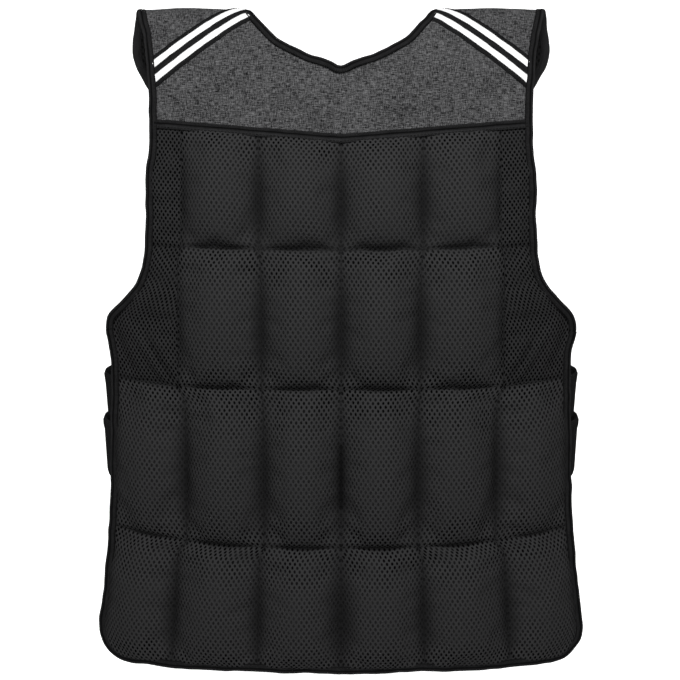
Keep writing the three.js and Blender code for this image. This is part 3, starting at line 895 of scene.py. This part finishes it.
def fold_section(width, thickness):
    """A closed (in, out) section of a tape folded over an edge."""
    leaf = np.array(FOLD) * [width, thickness / 2]
    skin = np.vstack([leaf, leaf[-2::-1] * [1, -1]])
    way = np.gradient(skin, axis=0)
    way /= np.linalg.norm(way, axis=1, keepdims=True)
    inner = skin + np.stack([-way[:, 1], way[:, 0]], axis=1) * TAPE_CLOTH
    inner[[0, -1], 0] = width
    section = np.vstack([skin, inner[::-1]])
    return section + [0, thickness / 2 - TAPE_INNER]


def tube(name, grid, along, around, material, closed=False, ribs_across=False):
    """A skin round rings of points with its cloth map. Unless it closes on itself it has ends."""
    count, size = grid.shape[:2]
    faces, uv = [], []
    for i in range(count if closed else count - 1):
        here, after = i * size, ((i + 1) % count) * size
        for j in range(size):
            k = (j + 1) % size
            faces.append([here + j, here + k, after + k, after + j])
            uv += [(along[i], around[j]), (along[i], around[j + 1]),
                   (along[i + 1], around[j + 1]), (along[i + 1], around[j])]
    if not closed:
        end = (count - 1) * size
        for j in range(size // 2 - 1):
            faces.append([j, size - 1 - j, size - 2 - j, j + 1])
            faces.append([end + j, end + j + 1, end + size - 2 - j, end + size - 1 - j])
            uv += [(0.0, 0.0)] * 8
    if ribs_across:
        uv = [(second, first) for first, second in uv]
    obj = mesh_object(name, grid, faces)
    obj.data.materials.append(material)
    set_uv(obj, uv)
    facing_out(obj)
    return obj


def tape_waves(along, wave, seed):
    """How far a tape strays sideways and outwards along its length."""
    return wave * ripple(along, TAPE_SWAY_PERIOD, seed), wave * ripple(along, TAPE_LIFT_PERIOD, seed + 1)


def beside(line, inward, out, closed):
    """Places of a line's points, moved inwards along the cloth and outwards from it."""
    spots = offset(line, inward, closed)
    return place(spots[:, 0], spots[:, 1], out)


def swept(name, line, section, closed, material, wave=0.0, seed=0):
    """Sweeps a section of (in, out) points along an (across, run) line."""
    along = lengths_along(line, closed)
    sway, lift = tape_waves(along[:len(line)], wave, seed)
    rings = [beside(line, inward + sway, out + lift, closed) for inward, out in section]
    return tube(name, np.stack(rings, axis=1), along, lengths_along(section, True), material, closed)


def facing_out(obj):
    """Turns a closed mesh's faces outwards where its volume says that they point in."""
    mesh = obj.data
    mesh.calc_loop_triangles()
    corners = np.array([[mesh.vertices[i].co for i in t.vertices] for t in mesh.loop_triangles])
    volume = np.einsum("ij,ij->i", corners[:, 0], np.cross(corners[:, 1], corners[:, 2])).sum()
    if volume < 0:
        mesh.flip_normals()


def stitch_tree():
    """Nodes that lay stitches along the edges of a mesh of lines."""
    tree = bpy.data.node_groups.new("stitches", "GeometryNodeTree")
    face = tree.interface
    face.new_socket("Geometry", in_out="INPUT", socket_type="NodeSocketGeometry")
    for label in ("Pitch", "Length", "Thickness"):
        face.new_socket(label, in_out="INPUT", socket_type="NodeSocketFloat")
    face.new_socket("Seed", in_out="INPUT", socket_type="NodeSocketInt")
    face.new_socket("Material", in_out="INPUT", socket_type="NodeSocketMaterial")
    face.new_socket("Geometry", in_out="OUTPUT", socket_type="NodeSocketGeometry")

    def add(kind, settings, inputs):
        node = tree.nodes.new(kind)
        for key, value in settings.items():
            setattr(node, key, value)
        for key, value in inputs.items():
            if isinstance(value, bpy.types.NodeSocket):
                tree.links.new(value, node.inputs[key])
            else:
                node.inputs[key].default_value = value
        return node

    given = add("NodeGroupInput", {}, {}).outputs
    curve = add("GeometryNodeMeshToCurve", {}, {"Mesh": given["Geometry"]})
    spots = add("GeometryNodeCurveToPoints", {"mode": "LENGTH"},
                {"Curve": curve.outputs[0], "Length": given["Pitch"]})
    bead = add("GeometryNodeMeshUVSphere", {}, {"Segments": 6, "Rings": 5, "Radius": 0.5})
    size = add("ShaderNodeCombineXYZ", {},
               {0: given["Thickness"], 1: given["Thickness"], 2: given["Length"]})
    uneven = add("FunctionNodeRandomValue", {"data_type": "FLOAT"},
                 {2: 0.88, 3: 1.1, "Seed": given["Seed"]})
    scale = add("ShaderNodeVectorMath", {"operation": "SCALE"},
                {0: size.outputs[0], "Scale": uneven.outputs[1]})
    laid = add("GeometryNodeInstanceOnPoints", {}, {
        "Points": spots.outputs["Points"], "Instance": bead.outputs["Mesh"],
        "Rotation": spots.outputs["Rotation"], "Scale": scale.outputs[0]})
    real = add("GeometryNodeRealizeInstances", {}, {"Geometry": laid.outputs[0]})
    smooth = add("GeometryNodeSetShadeSmooth", {}, {"Geometry": real.outputs[0]})
    painted = add("GeometryNodeSetMaterial", {},
                  {"Geometry": smooth.outputs[0], "Material": given["Material"]})
    add("NodeGroupOutput", {}, {"Geometry": painted.outputs[0]})
    return tree


STITCHES = stitch_tree()


def stitched(name, lines, slot, pitch=STITCH_PITCH, length=STITCH_LENGTH, thickness=STITCH_THICKNESS,
             seed=1):
    """Stitches along lines of points. A line whose ends meet is closed by its caller."""
    points = np.vstack(lines)
    edges, start = [], 0
    for line in lines:
        edges += [(start + k, start + k + 1) for k in range(len(line) - 1)]
        start += len(line)
    mesh = bpy.data.meshes.new(name)
    mesh.from_pydata(points.tolist(), edges, [])
    obj = bpy.data.objects.new(name, mesh)
    bpy.context.scene.collection.objects.link(obj)
    sewing = obj.modifiers.new("Stitches", "NODES")
    sewing.node_group = STITCHES
    given = {"Pitch": pitch, "Length": length, "Thickness": thickness, "Seed": seed, "Material": THREAD}
    for item in STITCHES.interface.items_tree:
        if item.in_out == "INPUT" and item.name in given:
            sewing[item.identifier] = given[item.name]
    applied(obj)
    finished(obj, slot)


def folded_tape(name, line, closed, wave_seed, seed):
    """A tape folded over an edge, and the stitches through both of its leaves."""
    section = fold_section(TAPE_WIDTH, TAPE_THICKNESS)
    tape = swept(name + "_tape", line, section, closed, TAPE, TAPE_WAVE, wave_seed)
    finished(tape, "binding_tape", name)
    sway, lift = tape_waves(lengths_along(line, closed)[:len(line)], TAPE_WAVE, wave_seed)
    lines = [beside(line, TAPE_STITCH_IN + sway, height + lift, closed) for height in TAPE_STITCH_HEIGHTS]
    if closed:
        lines = [np.vstack([row, row[:1]]) for row in lines]
    stitched(name + "_stitches", lines, "binding_tape", seed=seed)


# The two quilted panels
back_nodes = [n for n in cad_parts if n.startswith(("back_pocket", "back_strip", "back_wing"))]
front_nodes = [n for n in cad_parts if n.startswith("front_pocket")]
back_quilt, back_grid, back_seams, back_columns = quilt(
    "back_quilt", 1, BACK_ROWS, BACK_CELLS, back_nodes)
front_quilt, front_grid, front_seams, front_columns = quilt(
    "front_quilt", -1, FRONT_ROWS, FRONT_CELLS, front_nodes)


def seam_stitches(name, grid, seams, columns, side, seed):
    """Stitches along a panel's sewn lines."""
    lift = np.array([0, -side * STITCH_LIFT, 0])
    lines = [grid[i] + lift for i in seams[1:-1]] + [grid[:, j] + lift for j in columns[1:-1]]
    stitched(name, lines, "spacer_mesh", pitch=0.0036, length=0.0029, thickness=0.00045, seed=seed)


seam_stitches("back_seam_stitches", back_grid, back_seams, back_columns, 1, 3)
seam_stitches("front_seam_stitches", front_grid, front_seams, front_columns, -1, 4)


# The yoke
def yoke_seam_run(across, raised=0.0):
    """Distance along the profile to the yoke's seam, or to a line that far above it."""
    return run_at(seam_drop("yoke", across) - raised)


def yoke_seam_half(side, raised=0.0):
    """Half width of a panel where that line meets the edge."""
    wide = 0.0
    for _ in range(6):
        wide = float(edge_half(side * yoke_seam_run(wide, raised), EDGE_INSET))
    return wide


def yoke_outer():
    """The yoke's outer edge, spot for spot with the neck line."""
    # The corners stand a few of the neck's spans before and after the shoulder line
    count = len(NECK_LINE)
    half = count // 2
    span = count // len(neck_controls())
    back_corner = (len(BACK_NECK) - 3) * span
    front_corner = (len(BACK_NECK) + 4) * span
    raised = SEAM_TAPE_WIDTH / 2 - SEAM_LAP
    halves = [yoke_seam_half(side, raised) for side in (1, -1)]
    ends = [float(yoke_seam_run(wide, raised)) for wide in halves]
    outer = []
    for i in range(count):
        step, hand = (i, 1) if i <= half else (count - i, -1)
        if step <= back_corner:
            x = step / back_corner * halves[0]
            outer.append((hand * x, float(yoke_seam_run(x, raised))))
        elif step >= front_corner:
            x = (half - step) / (half - front_corner) * halves[1]
            outer.append((hand * x, -float(yoke_seam_run(x, raised))))
        else:
            part = (step - back_corner) / (front_corner - back_corner)
            run = ends[0] - (ends[0] + ends[1]) * part
            outer.append((hand * float(edge_half(run, EDGE_INSET)), run))
    return np.array(outer)


def yoke():
    """The heather cloth over both shoulders, as a thin closed shell."""
    stops = 26
    inner = offset(NECK_LINE, EDGE_INSET, True)
    outer = yoke_outer()
    part = np.linspace(0, 1, stops)[None, :, None]
    spots = inner[:, None] * (1 - part) + outer[:, None] * part
    across, run = spots[..., 0], spots[..., 1]
    drape = 0.0005 * ripple(across, 0.11, 5) * ripple(run, 0.09, 6)
    drape += 0.0004 * ripple(across + run, 0.06, 7)
    free = np.sin(math.pi * part[0, :, 0]) ** 0.5
    lift = drape * free + crest(across, run)
    top = place(across, run, YOKE_WALL + lift)
    under = place(across, run, LINING_OUT + lift)
    count, size = len(inner), 2 * stops
    grid = np.concatenate([top, under[:, ::-1]], axis=1)
    faces, uv = [], []
    flat = np.concatenate([spots, spots[:, ::-1]], axis=1)
    for i in range(count):
        n = (i + 1) % count
        for j in range(size):
            k = (j + 1) % size
            faces.append([i * size + j, i * size + k, n * size + k, n * size + j])
            uv += [flat[i, j], flat[i, k], flat[n, k], flat[n, j]]
    obj = mesh_object("yoke_cloth", grid, faces)
    obj.data.materials.append(HEATHER)
    obj.data.materials.append(MESH)
    backing = [0 if j < stops - 1 else 1 for _ in range(count) for j in range(size)]
    obj.data.polygons.foreach_set("material_index", backing)
    set_uv(obj, uv)
    set_uv(obj, [YOKE_LINING_KNIT] * len(uv), "pocket")
    facing_out(obj)
    finished(obj, "yoke_cloth", "yoke")


yoke()


# Folded tapes round the edges
def edge_loop():
    """The outer edge all round both panels, with the panels on its left."""
    mirror = (EDGE_LINE * [-1, 1])[::-1]
    spots = np.linspace(EDGE_LINE[-1, 0], -EDGE_LINE[-1, 0], 60)[1:-1]
    free = np.sin(math.pi * np.linspace(0, 1, len(spots))) ** 0.5
    hem = np.stack([spots, run_at(VEST_LENGTH) + HEM_WAVE * free * ripple(spots, 0.15, 12)], axis=1)
    loop = np.vstack([EDGE_LINE, hem, mirror, hem * [-1, -1]])
    return even_line(loop, 0.0035, True)


def edge_tapes():
    """Folded tape round both armholes and along both hems, each with its stitches."""
    loop = edge_loop()
    tip = float(run_at(WING_TIP * VEST_LENGTH))
    count = len(loop)
    cuts = []
    for hand, run in ((1, -tip), (1, tip), (-1, tip), (-1, -tip)):
        near = np.hypot((loop[:, 0] - hand * CUT_HALF) * CUT_WEIGHT, loop[:, 1] - run)
        cuts.append(int(np.argmin(near)))
    names = ("armhole_binding_right", "hem_binding_back", "armhole_binding_left", "hem_binding_front")
    for k, name in enumerate(names):
        first, last = cuts[k], cuts[(k + 1) % 4]
        if last <= first:
            last += count
        folded_tape(name, loop[np.arange(first, last + 1) % count], False, 20 + 3 * k, 30 + k)


edge_tapes()
folded_tape("neck_binding", even_line(NECK_LINE, 0.003, True), True, 50, 51)


def seam_tape(name, side, seed):
    """Tape over the seam between the yoke and a panel, a leaf on each face."""
    wide = yoke_seam_half(side)
    spots = np.linspace(-wide, wide, 121)
    line = np.stack([spots, side * yoke_seam_run(spots)], axis=1)
    half = SEAM_TAPE_WIDTH / 2
    made = []
    for word, table in (("outer", SEAM_TAPE_OUTER), ("inner", SEAM_TAPE_INNER)):
        section = np.array(table) * [side * half, 1]
        made.append(swept(f"{name}_{word}", line, section, False, TAPE, 0.0002, seed))
    keep = made[0]
    with bpy.context.temp_override(
            active_object=keep, object=keep, selected_objects=made, selected_editable_objects=made):
        bpy.ops.object.join()
    keep.name = name + "_tape"
    keep.data.name = keep.name
    finished(keep, "binding_tape", name)
    lines = [beside(line, share * half, height, False) for share, height in SEAM_TAPE_STITCHES]
    stitched(name + "_stitches", lines, "binding_tape", seed=seed)


seam_tape("yoke_seam_binding_back", 1, 60)
seam_tape("yoke_seam_binding_front", -1, 64)


# Striped bands on the shoulders
def over_yoke(hand, spots, out):
    """Places on a shoulder that stand out from the yoke and follow its crest."""
    across, run = hand * spots[..., 0], spots[..., 1]
    return place(across, run, out + crest(across, run))


def shoulder_strip(name, hand, shift, width, low, high, material, slot, node):
    """A strip between the neck tape and the armhole tape, its ends under both. Returns its spots."""
    way = np.array([math.cos(BAND_ANGLE), math.sin(BAND_ANGLE)])
    down = np.array([-way[1], way[0]])

    def lane_spots(lane, along):
        bend = np.polyval(BAND_BEND, np.clip(along, *BAND_BEND_SPAN))
        return np.array([NECK_HALF, 0]) + down * (shift + lane + bend)[:, None] + along[:, None] * way

    neck_inner = offset(NECK_LINE, EDGE_INSET, True)[:len(NECK_LINE) // 2]
    reach = np.linspace(-0.09, 0.2, 1500)
    lanes = np.linspace(-0.5, 0.5, BAND_LANES) * width
    ends = []
    for lane in lanes:
        spots = lane_spots(lane, reach)
        neck_half = np.interp(spots[:, 1], neck_inner[::-1, 1], neck_inner[::-1, 0])
        arm_half = edge_half(spots[:, 1], EDGE_INSET)
        ends.append([reach[np.flatnonzero(spots[:, 0] > half)[0]] for half in (neck_half, arm_half)])
    part = np.linspace(0, 1, BAND_STEPS)
    rows = []
    for lane, (near, far) in zip(lanes, ends):
        along = near + (far - near) * part
        uneven = 0.00025 * ripple(along, 0.03, 70 + int(hand)) * np.sign(lane)
        rows.append(lane_spots(lane + uneven, along))
    grid = np.stack(rows, axis=1)
    edge = np.zeros(len(lanes))
    edge[[0, -1]] = 0.25 * (high - low)
    top, under = over_yoke(hand, grid, high - edge), over_yoke(hand, grid, low)
    ring = np.concatenate([top, under[:, ::-1]], axis=1)
    cross = np.concatenate([lanes, lanes[::-1], lanes[:1]])
    spots = np.linspace(0, float(np.mean([far - near for near, far in ends])), len(part))
    obj = tube(name, ring, spots, cross, material)
    finished(obj, slot, node)
    return grid


def shoulder_bands():
    """A black band with two white tapes over each shoulder."""
    for hand, word in HANDS:
        low = YOKE_WALL + BAND_GAP
        high = low + BAND_THICKNESS
        grid = shoulder_strip(
            f"stripe_band_{word}_webbing", hand, 0, BAND_WIDTH, low, high, BAND,
            "binding_tape", f"stripe_band_{word}")
        lines = []
        for lane in (0, -1):
            toward = grid[:, BAND_LANES // 2] - grid[:, lane]
            toward /= np.linalg.norm(toward, axis=1, keepdims=True)
            row = grid[:, lane] + toward * BAND_STITCH_IN
            lines.append(over_yoke(hand, row, high + STITCH_LIFT))
        stitched(f"stripe_band_{word}_stitches", lines, "binding_tape", seed=80 + hand)
        for number, way in enumerate((-1, 1), start=1):
            shoulder_strip(
                f"reflective_tape_{word}_{number}_film", hand, way * REFLECTOR_SPACING / 2,
                REFLECTOR_WIDTH, high, high + REFLECTOR_THICKNESS, FILM,
                "reflective_tape", f"reflective_tape_{word}_{number}")


shoulder_bands()


# Elastic side straps
def side_strap(node, hand, top, width, seed):
    """An elastic strap that bows out between the panels' side edges and laps inside both."""
    middle = float(run_at(top + width / 2))
    edge = float(edge_half(middle, 0))
    seat = -(TAPE_INNER + STRAP_LAY + STRAP_THICKNESS / 2)
    lap = [
        place(edge - (STRAP_LAP + (STRAP_THICKNESS - STRAP_LAP) * part), middle, seat - STRAP_DIP * part)
        for part in (0, 0.5, 1)
    ]
    reach = edge + STRAP_BOW
    under = lap[-1]
    plan = [spot[:2] for spot in lap]
    plan.append(np.array([reach - STRAP_BOW * STRAP_SHOULDER, under[1] * (1 - STRAP_SHOULDER)]))
    plan.append(np.array([reach, 0]))
    path = np.array(plan + [spot * [1, -1] for spot in plan[-2::-1]])
    line = even_line(smooth_line(path, False, 12), 0.003)
    way = np.gradient(line, axis=0)
    way /= np.linalg.norm(way, axis=1, keepdims=True)
    out = np.stack([way[:, 1], -way[:, 0]], axis=1)
    free = np.sqrt(np.maximum(0, 1 - np.abs(line[:, 1] / under[1])))
    lanes = np.linspace(0, 1, STRAP_LANES)
    rolled = sum(np.exp(-((lanes * width - down) / reach) ** 2) for down, reach in STRAP_ROLLS)
    section = []
    for level, roll in zip(lanes, rolled):
        round_off = min(1.0, 0.35 + 12 * min(level, 1 - level))
        section.append((level, (STRAP_THICKNESS / 2) * round_off + STRAP_ROLL * roll))
    loop = [(level, half) for level, half in section] + [(level, -half) for level, half in section[::-1]]
    rings = []
    for level, half in loop:
        spot = line + out * half
        x = hand * (spot[:, 0] - free * STRAP_LEAN * level)
        uneven = 0.0003 * ripple(line[:, 1], 0.05, seed) * (level > 0.5)
        rings.append(np.stack([x, spot[:, 1], uneven - top - width * level], axis=1))
    along = lengths_along(line)
    around = [level * width for level, _ in loop + loop[:1]]
    obj = tube(node + "_elastic", np.stack(rings, axis=1), along, around, WEBBING, ribs_across=True)
    finished(obj, "elastic_webbing", node)


lower_strap_top = UPPER_STRAP_TOP + UPPER_STRAP_WIDTH + STRAP_SPACING
for hand, word in HANDS:
    side_strap(f"side_strap_upper_{word}", hand, UPPER_STRAP_TOP, UPPER_STRAP_WIDTH, 90)
    side_strap(f"side_strap_lower_{word}", hand, lower_strap_top, LOWER_STRAP_WIDTH, 92)


# Floor and backdrop in one pale sweep
def sweep():
    """A floor that curves up into a wall behind the vest."""
    floor_drop, front, back, bend, wide = 0.95, -0.3, 2.6, 0.6, 9.0
    profile = [(front, -floor_drop), (back - bend, -floor_drop)]
    profile += [
        (back - bend + bend * math.sin(t), -floor_drop + bend * (1 - math.cos(t)))
        for t in np.linspace(0, math.pi / 2, 25)[1:]
    ]
    profile.append((back, 3.0))
    points = [(x, y, z) for y, z in profile for x in (-wide, wide)]
    faces = [[2 * k, 2 * k + 1, 2 * k + 3, 2 * k + 2] for k in range(len(profile) - 1)]
    obj = mesh_object("pale_sweep", points, faces)
    obj.data.materials.append(pale_floor())


sweep()


# Soft studio light
def soft_light(name, spot, aim, size, power):
    """A square lamp turned to its aim."""
    lamp = bpy.data.lights.new(name, "AREA")
    lamp.shape = "SQUARE"
    lamp.size = size
    lamp.energy = power
    obj = bpy.data.objects.new(name, lamp)
    obj.location = spot
    obj.rotation_euler = (Vector(aim) - Vector(spot)).to_track_quat("-Z", "Y").to_euler()
    bpy.context.scene.collection.objects.link(obj)


for light in LIGHTS:
    soft_light(*light)

world = bpy.data.worlds.new("studio")
world.use_nodes = True
world.node_tree.nodes["Background"].inputs[0].default_value = (1, 1, 1, 1)
world.node_tree.nodes["Background"].inputs[1].default_value = WORLD_STRENGTH
bpy.context.scene.world = world
bpy.context.scene.view_settings.view_transform = "Standard"

# Camera at the photograph's viewing angle
lens = bpy.data.cameras.new("camera")
lens.lens = CAMERA_LENS
lens.sensor_width = 36
camera = bpy.data.objects.new("camera", lens)
camera.location = CAMERA_SPOT
camera.rotation_euler = (CAMERA_TILT, 0, 0)
bpy.context.scene.collection.objects.link(camera)
bpy.context.scene.camera = camera
